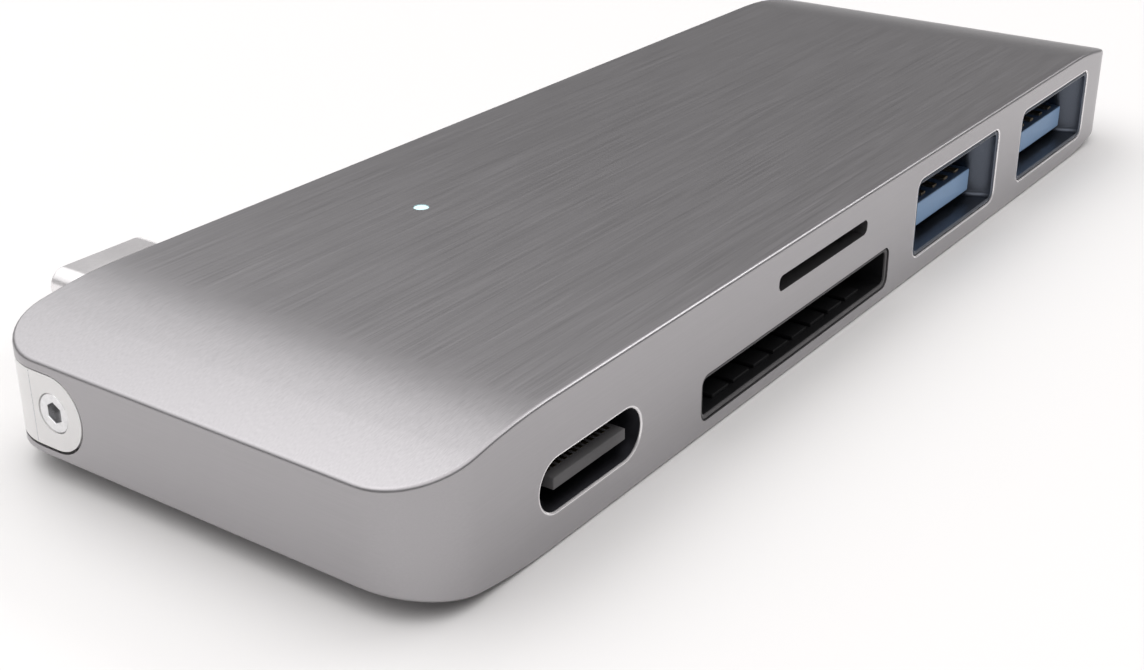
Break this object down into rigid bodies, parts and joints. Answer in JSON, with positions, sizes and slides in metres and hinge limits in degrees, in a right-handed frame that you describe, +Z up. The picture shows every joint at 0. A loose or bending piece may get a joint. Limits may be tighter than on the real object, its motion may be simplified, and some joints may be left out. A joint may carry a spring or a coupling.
{
  "type": "usb hub",
  "caption": "Slim brushed aluminium USB hub with a side plug on a sliding carrier, card slots and ports along one long edge and a small status light.",
  "frame": {"origin": "middle of the body's flat underside", "axes": "+X along the body, to the right when facing the ports; the ports face -Y, the plug points to +Y; +Z up"},
  "size_m": [0.095, 0.0402, 0.0089],
  "materials": {
    "case_aluminium": "brushed along the length and anodised dark grey",
    "cover_aluminium": "brushed and anodised dark grey",
    "adhesive": "black adhesive tape",
    "film": "amber insulating film",
    "circuit_board": "green solder mask",
    "screw_steel": "bright nickel plate",
    "port_steel": "nickel-plated sheet",
    "blue_plastic": "moulded, satin",
    "gold_contact": "gold plated",
    "dark_steel": "dark plated",
    "black_plastic": "moulded, satin",
    "tongue_plastic": "moulded, satin, mid grey",
    "socket_steel": "plain stainless sheet",
    "natural_plastic": "moulded, natural colour",
    "spring_steel": "drawn wire and strip",
    "led": "clear-topped package",
    "light_window": "frosted, lit from below",
    "chip": "moulded epoxy",
    "ferrite": "sintered, grey",
    "capacitor": "ceramic, tan",
    "thermal_pad": "soft silicone",
    "ribbon": "amber flexible circuit",
    "carrier_white": "smooth, off-white",
    "plug_steel": "bright nickel plate",
    "pad_brass": "plain turned"
  },
  "bodies": {
    "hub": {"top_shell": "case_aluminium", "bottom_cover": "cover_aluminium", "cover_adhesive": "adhesive", "insulating_film": "film", "main_board": "circuit_board", "board_screws": "screw_steel", "usb_a_shell_1": "port_steel", "usb_a_tongue_1": "blue_plastic", "usb_a_contacts_1": "gold_contact", "usb_a_shell_2": "port_steel", "usb_a_tongue_2": "blue_plastic", "usb_a_contacts_2": "gold_contact", "usb_c_shell": "dark_steel", "usb_c_insulator": "tongue_plastic", "usb_c_contacts": "gold_contact", "sd_base": "black_plastic", "sd_cover": "socket_steel", "sd_contacts": "gold_contact", "microsd_base": "black_plastic", "microsd_cover": "socket_steel", "microsd_contacts": "gold_contact", "microsd_spring": "spring_steel", "microsd_cam_pin": "spring_steel", "status_led": "led", "light_pipe": "light_window", "hub_chip": "chip", "card_reader_chip": "chip", "power_chip": "chip", "crystal": "socket_steel", "inductors": "ferrite", "capacitors": "capacitor", "resistors": "chip", "shield_can": "socket_steel", "thermal_pad": "thermal_pad", "flex_socket": "natural_plastic", "plug_flex": "ribbon"},
    "plug_carriage": {"plug_carrier": "carrier_white", "plug_shell": "plug_steel", "plug_insulator": "black_plastic", "plug_contacts": "gold_contact", "plug_latches": "spring_steel", "plug_board": "circuit_board"},
    "lock_pad": {"lock_pad": "pad_brass"},
    "lock_screw": {"lock_screw": "screw_steel"},
    "card_slider": {"microsd_slider": "natural_plastic"}
  },
  "joints": [
    {"name": "plug_extend", "type": "slide", "parent": "hub", "child": "plug_carriage", "axis": [0, 1, 0], "range_m": [0, 0.003], "deforming": ["plug_flex"]},
    {"name": "lock_pad_travel", "type": "slide", "parent": "plug_carriage", "child": "lock_pad", "axis": [-1, 0, 0], "range_m": [0, 0.00045]},
    {"name": "lock_screw_turn", "type": "hinge", "parent": "lock_pad", "child": "lock_screw", "pos_m": [-0.0463, 0.0103, 0.00445], "axis": [-1, 0, 0], "range_deg": [0, 360]},
    {"name": "card_push", "type": "slide", "parent": "hub", "child": "card_slider", "axis": [0, 1, 0], "range_m": [0, 0.0013], "stiffness_N_per_m": 100, "deforming": ["microsd_spring"]}
  ],
  "couplings": [
    {"joint": "lock_screw_turn", "follows": "lock_pad_travel", "rad_per_m": 13962}
  ]
}
